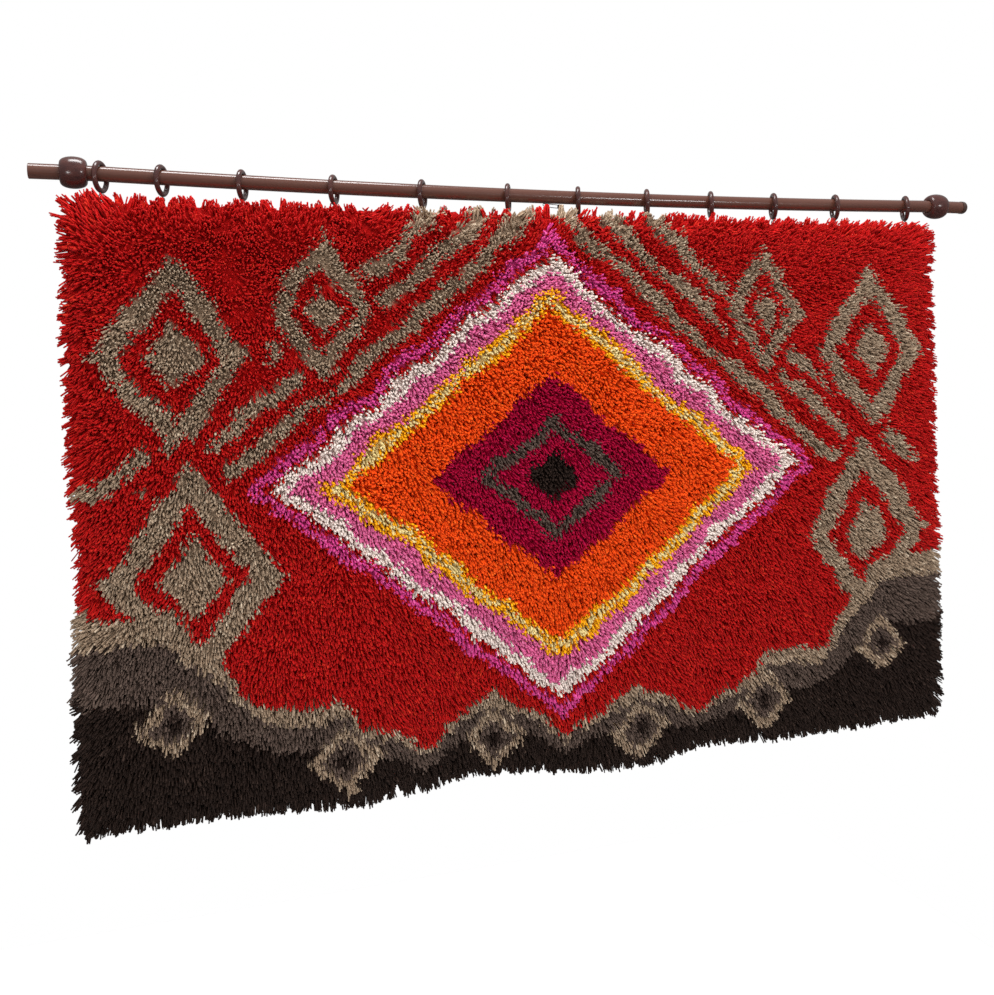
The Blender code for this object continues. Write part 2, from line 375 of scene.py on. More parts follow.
@dataclass(frozen=True)
class BedFinish:
    """The tight lower part of the pile, in the colours of the yarns above it."""

    def make(self) -> bpy.types.Material:
        """The material, which takes its colour from the mesh's points."""
        graph = Graph("under_pile")
        fibre = graph.noise(330.0, 4.0)
        colour = graph.shaded(graph.dye(), fibre * 1.6 + 0.2)
        graph.set({"Base Color": colour, "Roughness": 0.9, "Specular IOR Level": 0.1})
        graph.bump(fibre, 0.9, 0.004)
        return graph.material


@dataclass(frozen=True)
class CanvasFinish:
    """The rug's back: stiff open canvas with a bar of yarn at each knot."""

    thread: Colour = linear(196, 182, 152)
    pitch: float = 0.0065
    bar_level: float = 0.22

    def make(self) -> bpy.types.Material:
        """The canvas's material. Bars of yarn take their colour from the mesh's points, darker towards their
        edges with painted shade.
        """
        graph = Graph("canvas_back")
        parts = graph.node("ShaderNodeSeparateXYZ", {}, {0: graph.place()})
        across = Signal(graph, parts.outputs["X"]) * (math.pi / self.pitch)
        down = Signal(graph, parts.outputs["Z"]) * (math.pi / self.pitch)
        ribs = across.sine().size()
        rows = down.sine().size()
        bar = (ribs * rows).above(self.bar_level)
        fibre = graph.noise(900.0, 3.0)
        # painted shade: each bar of yarn darkens towards the grooves between the ribs
        colour = graph.blend(bar, self.thread, graph.shaded(graph.dye(), ribs * 0.5 + 0.45))
        graph.set({"Base Color": graph.shaded(colour, fibre * 0.5 + 0.7), "Roughness": 0.9})
        graph.bump(ribs * rows + fibre * 0.25, 0.9, 0.0015)
        return graph.material


def piece_from(
    name: str, points: np.ndarray, faces: np.ndarray, material: bpy.types.Material
) -> bpy.types.Object:
    """Makes a mesh object that rides on the part.

    Args:
        name: The piece's name.
        points: One row of x, y and z for each point.
        faces: Rows of three or four point numbers, all rows alike.
        material: Its finish.

    Returns:
        The object.
    """
    mesh = bpy.data.meshes.new(name)
    count, corners = faces.shape
    mesh.vertices.add(len(points))
    mesh.vertices.foreach_set("co", points.astype(np.float32).ravel())
    mesh.loops.add(count * corners)
    mesh.loops.foreach_set("vertex_index", faces.astype(np.int32).ravel())
    mesh.polygons.add(count)
    mesh.polygons.foreach_set("loop_start", np.arange(0, count * corners, corners, dtype=np.int32))
    mesh.polygons.foreach_set("use_smooth", np.full(count, True))
    mesh.update(calc_edges=True)
    mesh.validate()
    mesh.materials.append(material)
    made = bpy.data.objects.new(name, mesh)
    bpy.context.scene.collection.objects.link(made)
    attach(made, BODY)
    return made


def turns_round(count: int) -> np.ndarray:
    """Angles of so many even steps round a circle."""
    return np.arange(count) * 2 * math.pi / count


def unit(rows: np.ndarray) -> np.ndarray:
    """Directions with a length of 1."""
    return rows / np.linalg.norm(rows, axis=-1, keepdims=True)


def toward_rim(within: float, rim: float, near: np.ndarray) -> np.ndarray:
    """A value that goes from one within the canvas to another at its edges."""
    return within + (rim - within) * near


def triangles_of(quads: np.ndarray) -> np.ndarray:
    """Each four-sided face as two triangles."""
    return np.concatenate([quads[:, [0, 1, 2]], quads[:, [0, 2, 3]]])


def grid_faces(rows: int, columns: int, closed: bool) -> np.ndarray:
    """Four-sided faces between rows of points.

    Args:
        rows: How many rows of points.
        columns: Points in a row.
        closed: Whether each row joins its own start.

    Returns:
        Rows of four point numbers.
    """
    starts = np.arange(columns if closed else columns - 1)
    row, column = np.meshgrid(np.arange(rows - 1), starts, indexing="ij")
    start = (row * columns + column).ravel()
    beside = (row * columns + (column + 1) % columns).ravel()
    return np.stack([start, beside, beside + columns, start + columns], axis=1)


def tube_faces(rows: int, columns: int, looped: bool) -> np.ndarray:
    """Triangles of a tube, whose rows of points each join their own start.

    Args:
        rows: How many rows of points.
        columns: Points in a row.
        looped: Whether the last row joins the first.

    Returns:
        Rows of three point numbers.
    """
    quads = grid_faces(rows, columns, True)
    if looped:
        first = np.arange(columns)
        beside = (first + 1) % columns
        last = first + (rows - 1) * columns
        quads = np.concatenate([quads, np.stack([last, last[beside], beside, first], axis=1)])
    return triangles_of(quads)


def sheet_faces(rows: int, columns: int) -> np.ndarray:
    """Four-sided faces of a closed sheet: its back's points come first, then its front's in the same order.

    Args:
        rows: How many rows of points each side has.
        columns: Points in a row.

    Returns:
        Rows of four point numbers.
    """
    sheet = grid_faces(rows, columns, False)
    size = rows * columns
    rim = np.concatenate(
        [
            np.arange(columns),
            columns * np.arange(1, rows) + columns - 1,
            size - 2 - np.arange(columns - 1),
            columns * np.arange(rows - 2, 0, -1),
        ]
    )
    after = np.roll(rim, -1)
    edge = np.stack([rim, after, after + size, rim + size], axis=1)
    return np.concatenate([sheet[:, ::-1], sheet + size, edge])


class Solid:
    """Points and triangles that are gathered into one mesh."""

    def __init__(self) -> None:
        """Starts empty."""
        self.points: list[np.ndarray] = []
        self.faces: list[np.ndarray] = []
        self.count = 0

    def add(self, points: np.ndarray, faces: np.ndarray) -> Solid:
        """Adds a shell with its own point numbers, and gives back itself."""
        self.points.append(points)
        self.faces.append(faces + self.count)
        self.count += len(points)
        return self

    def sweep(self, path: np.ndarray, radius: float | np.ndarray, sides: int, closed: bool = False) -> Solid:
        """Adds a round wire along a path.

        Args:
            path: The points down its middle.
            radius: Its radius, one value or one for each point.
            sides: Points round it.
            closed: Whether its end joins its start.

        Returns:
            Itself.
        """
        ahead = np.roll(path, -1, axis=0) - np.roll(path, 1, axis=0)
        if not closed:
            ahead[0], ahead[-1] = path[1] - path[0], path[-1] - path[-2]
        ahead = unit(ahead)
        beside = unit(np.cross(ahead, np.linalg.svd(path - path.mean(axis=0))[2][2]))
        above = np.cross(beside, ahead)
        turn = turns_round(sides)
        reach = np.broadcast_to(np.asarray(radius, float), (len(path),))[:, None, None]
        ring = np.cos(turn)[None, :, None] * beside[:, None] + np.sin(turn)[None, :, None] * above[:, None]
        points = (path[:, None] + reach * ring).reshape(-1, 3)
        faces = tube_faces(len(path), sides, closed)
        if not closed:
            fan = np.arange(1, sides - 1)
            start = np.stack([np.zeros_like(fan), fan + 1, fan], axis=1)
            end = np.stack([np.zeros_like(fan), fan, fan + 1], axis=1) + (len(path) - 1) * sides
            faces = np.concatenate([faces, start, end])
        return self.add(points, faces)

    def lathe(self, profile: np.ndarray, steps: int, closed: bool = False) -> Solid:
        """Adds a shape turned about X.

        Args:
            profile: Rows of (place along X, radius), left to right along its outside.
            steps: Points round it.
            closed: Whether the profile joins its own start, as on a piece with a bore.

        Returns:
            Itself.
        """
        turn = turns_round(steps)
        along = np.repeat(profile[:, :1], steps, axis=1)
        points = np.stack([along, profile[:, 1:] * np.cos(turn), profile[:, 1:] * np.sin(turn)], axis=2)
        return self.add(points.reshape(-1, 3), tube_faces(len(profile), steps, closed)[:, ::-1])

    def make(self, name: str, material: bpy.types.Material, matrix: Matrix | None = None) -> bpy.types.Object:
        """Joins what was added into one object.

        Args:
            name: The piece's name.
            material: Its finish.
            matrix: Where it goes, if its points aren't in the part's frame.

        Returns:
            The object.
        """
        points = np.concatenate(self.points)
        if matrix is not None:
            turned = np.array(matrix, float)
            points = points @ turned[:3, :3].T + turned[:3, 3]
        return piece_from(name, points, np.concatenate(self.faces), material)


def smooth_path(points: Sequence[Sequence[float]], steps: int) -> np.ndarray:
    """A Catmull-Rom curve through points, with so many steps between each two."""
    given = np.array(points, float)
    ends = np.concatenate([2 * given[:1] - given[1:2], given, 2 * given[-1:] - given[-2:-1]])
    share = np.arange(steps)[:, None] / steps
    runs = []
    for a, b, c, d in zip(ends, ends[1:], ends[2:], ends[3:]):
        curve = 2 * b + (c - a) * share + (2 * a - 5 * b + 4 * c - d) * share**2
        runs.append(0.5 * (curve + (3 * b - a - 3 * c + d) * share**3))
    return np.concatenate([*runs, given[-1:]])


def stand_for(made: bpy.types.Object, node: str) -> None:
    """Hides the CAD node that a piece takes the place of."""
    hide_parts(node)


def node_centre(node: str) -> Vector:
    """The middle of a CAD node's box."""
    low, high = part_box(node)
    return (Vector(low) + Vector(high)) / 2


@dataclass(frozen=True)
class HemPoint:
    """A place along the hem: how far it swings forward there and how far it drops."""

    x: float
    forward: float
    drop: float


@dataclass(frozen=True)
class SidePoint:
    """A place down the sides, as a share of the height, and how far each side lies to the right there."""

    down: float
    left: float
    right: float


HEM = (
    HemPoint(-0.78, 0.000, 0.006),
    HemPoint(-0.60, 0.006, 0.001),
    HemPoint(-0.38, 0.024, 0.005),
    HemPoint(-0.20, -0.009, -0.004),
    HemPoint(-0.10, -0.002, -0.001),
    HemPoint(0.02, 0.015, 0.009),
    HemPoint(0.11, 0.014, 0.012),
    HemPoint(0.23, 0.003, -0.003),
    HemPoint(0.38, 0.008, 0.002),
    HemPoint(0.50, -0.002, 0.006),
    HemPoint(0.62, -0.004, 0.003),
    HemPoint(0.73, 0.004, 0.003),
)
SIDES = (
    SidePoint(0.00, -0.001, -0.005),
    SidePoint(0.25, -0.002, -0.001),
    SidePoint(0.48, 0.000, -0.001),
    SidePoint(0.62, 0.006, 0.003),
    SidePoint(0.74, -0.004, 0.003),
    SidePoint(1.00, -0.006, 0.003),
)


def eased(places: Sequence[float], values: Sequence[float], x: np.ndarray) -> np.ndarray:
    """A value for each x from a table's rows, eased between them."""
    at, value = np.array(places), np.array(values)
    row = np.clip(np.searchsorted(at, x, side="right") - 1, 0, len(at) - 2)
    share = np.clip((x - at[row]) / (at[row + 1] - at[row]), 0, 1)
    share = share * share * (3 - 2 * share)
    return value[row] + share * (value[row + 1] - value[row])


@dataclass(frozen=True)
class Drape:
    """How the canvas hangs: its edges, its soft waves and its sagging corners."""

    left: float = -0.762
    right: float = 0.707
    top: float = -0.053
    bottom: float = -0.935
    back: float = -0.001
    corner_sag: float = 0.003
    swing_power: float = 1.5
    slope_step: float = 0.004

    @property
    def width(self) -> float:
        """The canvas's width."""
        return self.right - self.left

    @property
    def height(self) -> float:
        """The canvas's height."""
        return self.top - self.bottom

    def from_middle(self, across: np.ndarray, down: np.ndarray) -> tuple[np.ndarray, np.ndarray]:
        """How far places on the flat canvas lie to the right of its middle, and above it."""
        return (across - 0.5) * self.width, (0.5 - down) * self.height

    def place(self, across: np.ndarray, down: np.ndarray, front: float = 0.0) -> np.ndarray:
        """Points of the hung canvas.

        Args:
            across: Shares of its width, from the left.
            down: Shares of its height, from the top.
            front: How far the points lie in front of its back face.

        Returns:
            Rows of x, y and z.
        """
        edge = 2 * across - 1
        levels = [s.down for s in SIDES]
        x = self.left + across * self.width
        x += eased(levels, [s.left for s in SIDES], down) * (1 - across) ** 3
        x += eased(levels, [s.right for s in SIDES], down) * across**3
        hem = [h.x for h in HEM]
        forward = eased(hem, [h.forward for h in HEM], x)
        drop = eased(hem, [h.drop for h in HEM], x)
        z = self.top - down * self.height - drop * down**2 - self.corner_sag * edge**6 * (1 - down)
        y = self.back - forward * np.clip(down, 0, None) ** self.swing_power - front
        return np.stack([x, y, z], axis=-1)

    def axes(self, across: np.ndarray, down: np.ndarray) -> tuple[np.ndarray, np.ndarray, np.ndarray]:
        """The canvas's own directions at places on it: out of its face, to the right, and up."""
        step = self.slope_step
        right = self.place(across + step, down) - self.place(across - step, down)
        up = self.place(across, down - step) - self.place(across, down + step)
        right, up = unit(right), unit(up)
        return np.cross(right, up), right, up


@dataclass(frozen=True)
class Diamond:
    """An open taupe diamond of the chart, with a filled one in its middle, on both sides alike."""

    x: float
    z: float
    size: float = 1.0


@dataclass
class Chart:
    """The rug's design: a stepped lozenge on a red field, with chevrons, open diamonds and a zigzag border.

    Places are measured from the canvas's middle, x to the right and z up.
    """

    width: float
    height: float
    step: float = 0.0063
    sway: float = 0.003
    sway_across: tuple[float, float] = (17.0, 61.0)
    sway_up: tuple[float, float] = (57.0, -23.0)
    centre: tuple[float, float] = (-0.015, 0.035)
    half_width: float = 0.49
    half_height: float = 0.385
    bands: tuple[tuple[float, Yarn], ...] = (
        (1.00, Yarn.LILAC),
        (0.955, Yarn.RED),
        (0.925, Yarn.WHITE),
        (0.865, Yarn.PINK),
        (0.775, Yarn.GOLD),
        (0.745, Yarn.CREAM),
        (0.715, Yarn.GOLD),
        (0.69, Yarn.ORANGE),
        (0.43, Yarn.CRIMSON),
        (0.26, Yarn.UMBER),
        (0.20, Yarn.CRIMSON),
        (0.10, Yarn.DARK),
    )
    chevrons: tuple[float, ...] = (1.08, 1.24, 1.40)
    chevron_width: float = 0.075
    diamonds: tuple[Diamond, ...] = (
        Diamond(0.600, 0.235),
        Diamond(0.585, -0.090, 1.15),
        Diamond(0.385, 0.300, 0.72),
    )
    diamond_half: tuple[float, float] = (0.110, 0.150)
    diamond_rings: tuple[tuple[float, Yarn], ...] = (
        (1.26, Yarn.RED),
        (1.00, Yarn.TAUPE),
        (0.64, Yarn.RED),
        (0.36, Yarn.TAUPE),
    )
    zigzag_period: float = 0.245
    zigzag_low: float = 0.065
    zigzag_swing: float = 0.075
    corner_start: float = 0.34
    corner_slope: float = 0.62
    border_bands: tuple[tuple[float, Yarn], ...] = (
        (1.00, Yarn.TAUPE),
        (0.84, Yarn.UMBER),
        (0.58, Yarn.DARK),
    )
    peak_half: tuple[float, float] = (0.056, 0.050)
    peak_level: float = 0.45
    peak_rings: tuple[tuple[float, Yarn], ...] = ((1.00, Yarn.TAUPE), (0.62, Yarn.UMBER), (0.30, Yarn.DARK))
    order: list[Yarn] = field(default_factory=lambda: list(Yarn))

    def _stepped(self, value: np.ndarray) -> np.ndarray:
        """A distance in whole steps of the chart."""
        return np.round(value / self.step) * self.step

    def _lozenge(self, x: np.ndarray, z: np.ndarray, half: tuple[float, float]) -> np.ndarray:
        """How far out a place is in a stepped lozenge, 1 at its edge."""
        return self._stepped(np.abs(x)) / half[0] + self._stepped(np.abs(z)) / half[1]

    def _rings(self, picked: np.ndarray, out: np.ndarray, rings: Sequence[tuple[float, Yarn]]) -> None:
        """Paints rings, from the outermost to the middle."""
        for limit, yarn in rings:
            picked[out < limit] = self.order.index(yarn)

    def yarns(self, x: np.ndarray, z: np.ndarray) -> np.ndarray:
        """The yarn of each knot.

        Args:
            x: Places to the right of the middle.
            z: Places above it.

        Returns:
            The yarns' numbers in the Enum's order.
        """
        picked = np.full(x.shape, self.order.index(Yarn.RED))
        across, up = (np.sin(x * a + z * b) for a, b in (self.sway_across, self.sway_up))
        x, z = x + self.sway * across, z + self.sway * up
        own_x, own_z = x - self.centre[0], z - self.centre[1]
        out = self._lozenge(own_x, own_z, (self.half_width, self.half_height))
        for start in self.chevrons:
            line = (out > start) & (out < start + self.chevron_width) & (own_z > 0)
            picked[line] = self.order.index(Yarn.TAUPE)
        for diamond in self.diamonds:
            half = (self.diamond_half[0] * diamond.size, self.diamond_half[1] * diamond.size)
            self._rings(picked, self._lozenge(np.abs(x) - diamond.x, z - diamond.z, half), self.diamond_rings)
        self._border(picked, x, z + self.height / 2)
        self._rings(picked, out, self.bands)
        return picked

    def _border(self, picked: np.ndarray, x: np.ndarray, height: np.ndarray) -> None:
        """The dark zigzag along the hem, which rises at both corners.

        Args:
            picked: The yarns so far, changed here.
            x: Places to the right of the middle.
            height: Places above the hem.
        """
        along = x / self.zigzag_period
        peak = np.floor(along) + 0.5
        ridge = self.zigzag_low + self.zigzag_swing * (1 - 2 * np.abs(along - peak)) + self._corner_rise(x)
        self._rings(picked, self._stepped(height) / self._stepped(ridge), self.border_bands)
        peak_x = peak * self.zigzag_period
        middle = self.peak_level * (self.zigzag_low + self.zigzag_swing) + self._corner_rise(peak_x) / 2
        self._rings(picked, self._lozenge(x - peak_x, height - middle, self.peak_half), self.peak_rings)

    def _corner_rise(self, x: np.ndarray) -> np.ndarray:
        """How much higher the border stands towards the corners."""
        return self.corner_slope * np.clip(np.abs(x) - self.corner_start, 0, None)


class Sheet:
    """Even places over the canvas, for a thin piece with a back and a front."""

    def __init__(self, drape: Drape, chart: Chart, cell: float) -> None:
        """Sets out the places.

        Args:
            drape: The canvas.
            chart: The design.
            cell: How far apart the places are, about.
        """
        self.drape = drape
        self.chart = chart
        self.columns, self.rows = round(drape.width / cell) + 1, round(drape.height / cell) + 1
        across, down = np.meshgrid(np.linspace(0, 1, self.columns), np.linspace(0, 1, self.rows))
        self.across, self.down = across.ravel(), down.ravel()

    def make(
        self,
        name: str,
        back: np.ndarray,
        front: np.ndarray,
        share: float | np.ndarray,
        material: bpy.types.Material,
    ) -> bpy.types.Object:
        """Makes a closed piece with the chart's colours on its points, and hides the CAD node that it stands
        for.

        Args:
            name: The piece's name.
            back: The points of its back.
            front: The points of its front.
            share: How much of the yarn's colour to give, one value or one for each place; below 1 it darkens
                the colour as painted shade.
            material: Its finish.

        Returns:
            The object.
        """
        made = piece_from(name, np.concatenate([back, front]), sheet_faces(self.rows, self.columns), material)
        picked = self.chart.yarns(*self.drape.from_middle(self.across, self.down))
        dyes = np.array([(*yarn.value.middle, 1.0) for yarn in self.chart.order])[picked]
        # a share below 1 is painted shade
        dyes[:, :3] *= np.reshape(share, (-1, 1))
        kept = made.data.attributes.new("dye", "FLOAT_COLOR", "POINT")
        kept.data.foreach_set("color", np.tile(dyes, (2, 1)).astype(np.float32).ravel())
        stand_for(made, "rug")
        LOG.info("%s: %d by %d cells", name, self.columns - 1, self.rows - 1)
        return made


@dataclass(frozen=True)
class Tug:
    """A spot where the pile has been pulled: how its strands lean, right and up, and their extra length."""

    x: float
    down: float
    right: float
    up: float
    longer: float
    reach: float = 0.030


TUGS = (
    Tug(-0.725, 0.0, 0.0, 0.95, 0.20, 0.040),
    Tug(0.700, 0.03, 0.9, 0.3, 0.30),
    Tug(-0.260, 1.0, 0.0, -0.6, 0.20),
)


@dataclass(frozen=True)
class Nap:
    """Which way the pile lies: out over the edges, down towards the hem, and combed a little in places."""

    drape: Drape
    fan: float = 1.10
    fan_reach: float = 0.014
    soft_fan: float = 0.45
    soft_reach: float = 0.090
    droop: float = 0.35
    hem_droop: float = 0.45
    droop_power: float = 1.5
    comb: float = 0.17
    comb_wave: float = 0.075
    comb_range: tuple[float, float] = (0.5, 2.0)
    waves: int = 11
    seed: int = 3

    def near(self, across: np.ndarray, down: np.ndarray) -> np.ndarray:
        """1 at the canvas's edges, falling to 0 within."""
        beside = np.minimum(across, 1 - across) * self.drape.width
        rim = np.minimum(beside, np.minimum(down, 1 - down) * self.drape.height)
        return np.exp(-np.clip(rim, 0, None) / self.fan_reach)

    def lean(self, across: np.ndarray, down: np.ndarray) -> tuple[np.ndarray, np.ndarray]:
        """How far strands lean for each unit that they stand out of the canvas.

        Args:
            across: Places over the canvas's width.
            down: Places down it.

        Returns:
            The lean to the right and the lean up.
        """
        s, t = across * self.drape.width, down * self.drape.height
        random = np.random.default_rng(self.seed)
        lean_x = self._over(self.drape.width - s) - self._over(s) + self.comb * self._swell(s, t, random)
        lean_up = self._over(t) - self._over(self.drape.height - t) + self.comb * self._swell(s, t, random)
        lean_up -= self.droop + self.hem_droop * down**self.droop_power
        for tug in TUGS:
            share = self._near_tug(tug, s, t)
            lean_x, lean_up = lean_x + tug.right * share, lean_up + tug.up * share
        return lean_x, lean_up

    def length(self, across: np.ndarray, down: np.ndarray) -> np.ndarray:
        """The strands' length at places on the canvas, as a share of the usual."""
        s, t = across * self.drape.width, down * self.drape.height
        return 1.0 + sum(tug.longer * self._near_tug(tug, s, t) for tug in TUGS)

    def _near_tug(self, tug: Tug, s: np.ndarray, t: np.ndarray) -> np.ndarray:
        """1 at a tugged spot, falling to 0 round it."""
        gap_x, gap_down = self.drape.left + s - tug.x, t - tug.down * self.drape.height
        return np.exp(-(gap_x**2 + gap_down**2) / tug.reach**2)

    def _over(self, gap: np.ndarray) -> np.ndarray:
        """How far strands lean out over an edge of the canvas that is so far away."""
        gap = np.clip(gap, 0, None)
        return self.fan * np.exp(-gap / self.fan_reach) + self.soft_fan * np.exp(-gap / self.soft_reach)

    def _swell(self, s: np.ndarray, t: np.ndarray, random: np.random.Generator) -> np.ndarray:
        """Slow noise over the canvas, mostly from -1 to 1."""
        total = np.zeros_like(s)
        for _ in range(self.waves):
            angle, phase = random.uniform(0, 2 * math.pi, 2)
            length = self.comb_wave * random.uniform(*self.comb_range)
            total += np.sin((s * math.cos(angle) + t * math.sin(angle)) * 2 * math.pi / length + phase)
        return total / math.sqrt(self.waves)


@dataclass
class Pile:
    """Cut yarn: three strands for each knot of the canvas, in one piece or more for each yarn."""

    drape: Drape
    chart: Chart
    nap: Nap
    pitch: float = 0.0063
    ends: int = 3
    rim_rows: int = 2
    rim_ends: int = 2
    parting_rows: int = 9
    parting_ends: int = 1
    yarn_length: float = 0.0335
    yarn_radius: float = 0.00165
    root_depth: float = 0.0016
    root_spread: float = 0.0017
    jitter: float = 0.1
    rim_length: float = 0.86
    length_spread: float = 0.05
    rim_length_spread: float = 0.07
    length_range: tuple[float, float] = (0.72, 1.25)
    radius_spread: float = 0.12
    radius_range: tuple[float, float] = (0.7, 1.35)
    root_swell: float = 0.9
    rim_taper: float = 0.3
    twist: float = 0.4
    tuft_size: float = 0.0105
    tuft_ragged: float = 0.3
    stray: float = 0.12
    rim_stray: float = 0.30
    tuft_stray: float = 0.065
    rim_tuft_stray: float = 0.38
    splay: float = 0.08
    clump: float = 0.12
    rim_clump: float = 0.50
    bow: float = 0.14
    bow_up: float = 0.16
    knot_tone: float = 0.06
    strand_tone: float = 0.10
    bent_rows: float = 0.020
    pin_ends: tuple[float, float] = (-0.041, -0.012)
    pin_catch: tuple[float, float] = (0.007, 0.012)
    pin_lean: tuple[float, float] = (0.4, 3.2)
    pin_length: float = 0.034
    askew: Triple = (0.31, 0.12, 0.94)
    seed: int = 5
    most_triangles: int = 190_000

    def build(self) -> list[bpy.types.Object]:
        """Makes the pile.

        Returns:
            Its pieces, one or more for each yarn.
        """
        random = np.random.default_rng(self.seed)
        columns = round(self.drape.width / self.pitch)
        rows = round(self.drape.height / self.pitch)
        column, row = (a.ravel() for a in np.meshgrid(np.arange(columns), np.arange(rows)))
        edge = np.minimum(np.minimum(column, columns - 1 - column), np.minimum(row, rows - 1 - row))
        ends = self.ends + np.where(edge < self.parting_rows, self.parting_ends, 0)
        ends = np.where(edge < self.rim_rows, self.ends + self.rim_ends, ends)
        across = (column + 0.5 + random.normal(0, self.jitter, column.size)) / columns
        down = (row + 0.5 + random.normal(0, self.jitter, row.size)) / rows
        yarns = self.chart.yarns(*self.drape.from_middle(across, down))
        knot = np.repeat(np.arange(column.size), ends)
        tuft = self._tufts(across, down, random)[knot]
        across, down, yarns = across[knot], down[knot], yarns[knot]
        girths = np.array([yarn.value.girth for yarn in self.chart.order])[yarns]
        spots, tone = self._strands(across, down, knot, tuft, girths, random)
        near = self.nap.near(across, down)
        rim = -np.log(near) * self.nap.fan_reach
        made = []
        for number, yarn in enumerate(self.chart.order):
            chosen = np.flatnonzero(yarns == number)
            chosen = chosen[np.argsort(across[chosen], kind="stable")]
            bent = rim[chosen] < self.bent_rows
            triangles = len(self._faces(2, 1)) * (~bent).sum() + len(self._faces(3, 1)) * bent.sum()
            parts = max(1, math.ceil(triangles / self.most_triangles))
            material = yarn.value.make()
            for part, some in enumerate(np.array_split(np.arange(len(chosen)), parts), start=1):
                name = f"pile_{yarn.value.label}" + (f"_{part}" if parts > 1 else "")
                picked = chosen[some]
                made.append(self._piece(name, spots[picked], tone[picked], bent[some], material))
                LOG.info("%s: %d strands", name, len(some))
        return made

    def _tufts(self, across: np.ndarray, down: np.ndarray, random: np.random.Generator) -> np.ndarray:
        """A tuft's number for each knot. Tufts are a knot or two across, with ragged borders."""
        tufts_across = math.ceil(self.drape.width / self.tuft_size) + 3
        column = across * self.drape.width / self.tuft_size + random.normal(0, self.tuft_ragged, across.size)
        row = down * self.drape.height / self.tuft_size + random.normal(0, self.tuft_ragged, down.size)
        column, row = np.clip(np.floor(column), 0, tufts_across - 1), np.clip(np.floor(row), 0, None)
        return np.unique(row * tufts_across + column, return_inverse=True)[1]

    def _strands(
        self,
        across: np.ndarray,
        down: np.ndarray,
        knot: np.ndarray,
        tuft: np.ndarray,
        girths: np.ndarray,
        random: np.random.Generator,
    ) -> tuple[np.ndarray, np.ndarray]:
        """The strands' points and tones.

        Args:
            across: Each strand's place over the canvas's width.
            down: Its place down the canvas.
            knot: The number of its knot.
            tuft: The number of the tuft that its tip joins.
            girths: How full its yarn is, beside the plain yarns.
            random: Where the unevenness comes from.

        Returns:
            Points as strands x 9 x 3, three round each of root, middle and tip, and a tone from 0 to 1 each.
        """
        size = len(across)
        near = self.nap.near(across, down)
        root = self.drape.place(across, down, self.root_depth)
        out, right, up = self.drape.axes(across, down)
        turn = random.uniform(0, 2 * math.pi, knot[-1] + 1)[knot] + np.arange(size) * 2 * math.pi / self.ends
        right_share, up_share = (self.root_spread * wave(turn)[:, None] for wave in (np.cos, np.sin))
        root += right * right_share + up * up_share

        lean_x, lean_up = self.nap.lean(across, down)
        for lean, side in ((lean_x, np.cos(turn)), (lean_up, np.sin(turn))):
            lean += self.splay * side
            lean += random.normal(0, 1, size) * toward_rim(self.stray, self.rim_stray, near)
            shared = random.normal(0, 1, tuft.max() + 1)[tuft]
            lean += shared * toward_rim(self.tuft_stray, self.rim_tuft_stray, near)
        spread = self.length_spread + self.rim_length_spread * near
        length = self.yarn_length * np.clip(random.normal(1.0, spread), *self.length_range)
        length *= toward_rim(1.0, self.rim_length, near) * self.nap.length(across, down)
        x, gap = self.drape.left + across * self.drape.width, down * self.drape.height
        for end in self.pin_ends:
            caught = (np.abs(x - end) < self.pin_catch[0]) & (gap < self.pin_catch[1])
            lean_x[caught] = self.pin_lean[0] * lean_x[caught]
            lean_up[caught], length[caught] = self.pin_lean[1], self.pin_length
        aim = unit(out + lean_x[:, None] * right + lean_up[:, None] * up)

        tip = root + aim * length[:, None]
        tip = self._gathered(tip, tuft, toward_rim(self.clump, self.rim_clump, near))
        bow = random.normal(0, self.bow, (size, 3))
        bow[:, 2] += self.bow_up
        middle = (root + tip) / 2 + bow * length[:, None] * 0.5
        uneven = np.clip(random.normal(1.0, self.radius_spread, size), *self.radius_range)
        radius = self.yarn_radius * girths * uneven
        start = random.uniform(0, 2 * math.pi, size)
        rings = [
            self._round(root, middle - root, radius * self.root_swell, start),
            self._round(middle, tip - root, radius, start + self.twist),
            self._round(tip, tip - middle, radius * (1.0 - self.rim_taper * near), start + 2 * self.twist),
        ]
        shared_tone = random.normal(0, self.knot_tone, knot[-1] + 1)[knot]
        tone = 0.5 + shared_tone + random.normal(0, self.strand_tone, size)
        return np.concatenate(rings, axis=1), np.clip(tone, 0, 1)

    def _gathered(self, tip: np.ndarray, tuft: np.ndarray, share: np.ndarray) -> np.ndarray:
        """Draws the tips of each tuft together by a share of the way."""
        count = np.bincount(tuft)
        centre = np.stack([np.bincount(tuft, tip[:, axis]) for axis in range(3)], axis=1)
        centre /= np.maximum(count, 1)[:, None]
        return tip + (centre[tuft] - tip) * share[:, None]

    def _round(
        self, centre: np.ndarray, heading: np.ndarray, radius: np.ndarray, turn: np.ndarray
    ) -> np.ndarray:
        """Three points round each strand, square to its heading."""
        heading = unit(heading)
        beside = unit(np.cross(heading, self.askew))
        above = np.cross(beside, heading)
        angle = turn[:, None] + np.arange(3) * 2 * math.pi / 3
        ring = np.cos(angle)[..., None] * beside[:, None] + np.sin(angle)[..., None] * above[:, None]
        return centre[:, None] + ring * radius[:, None, None]

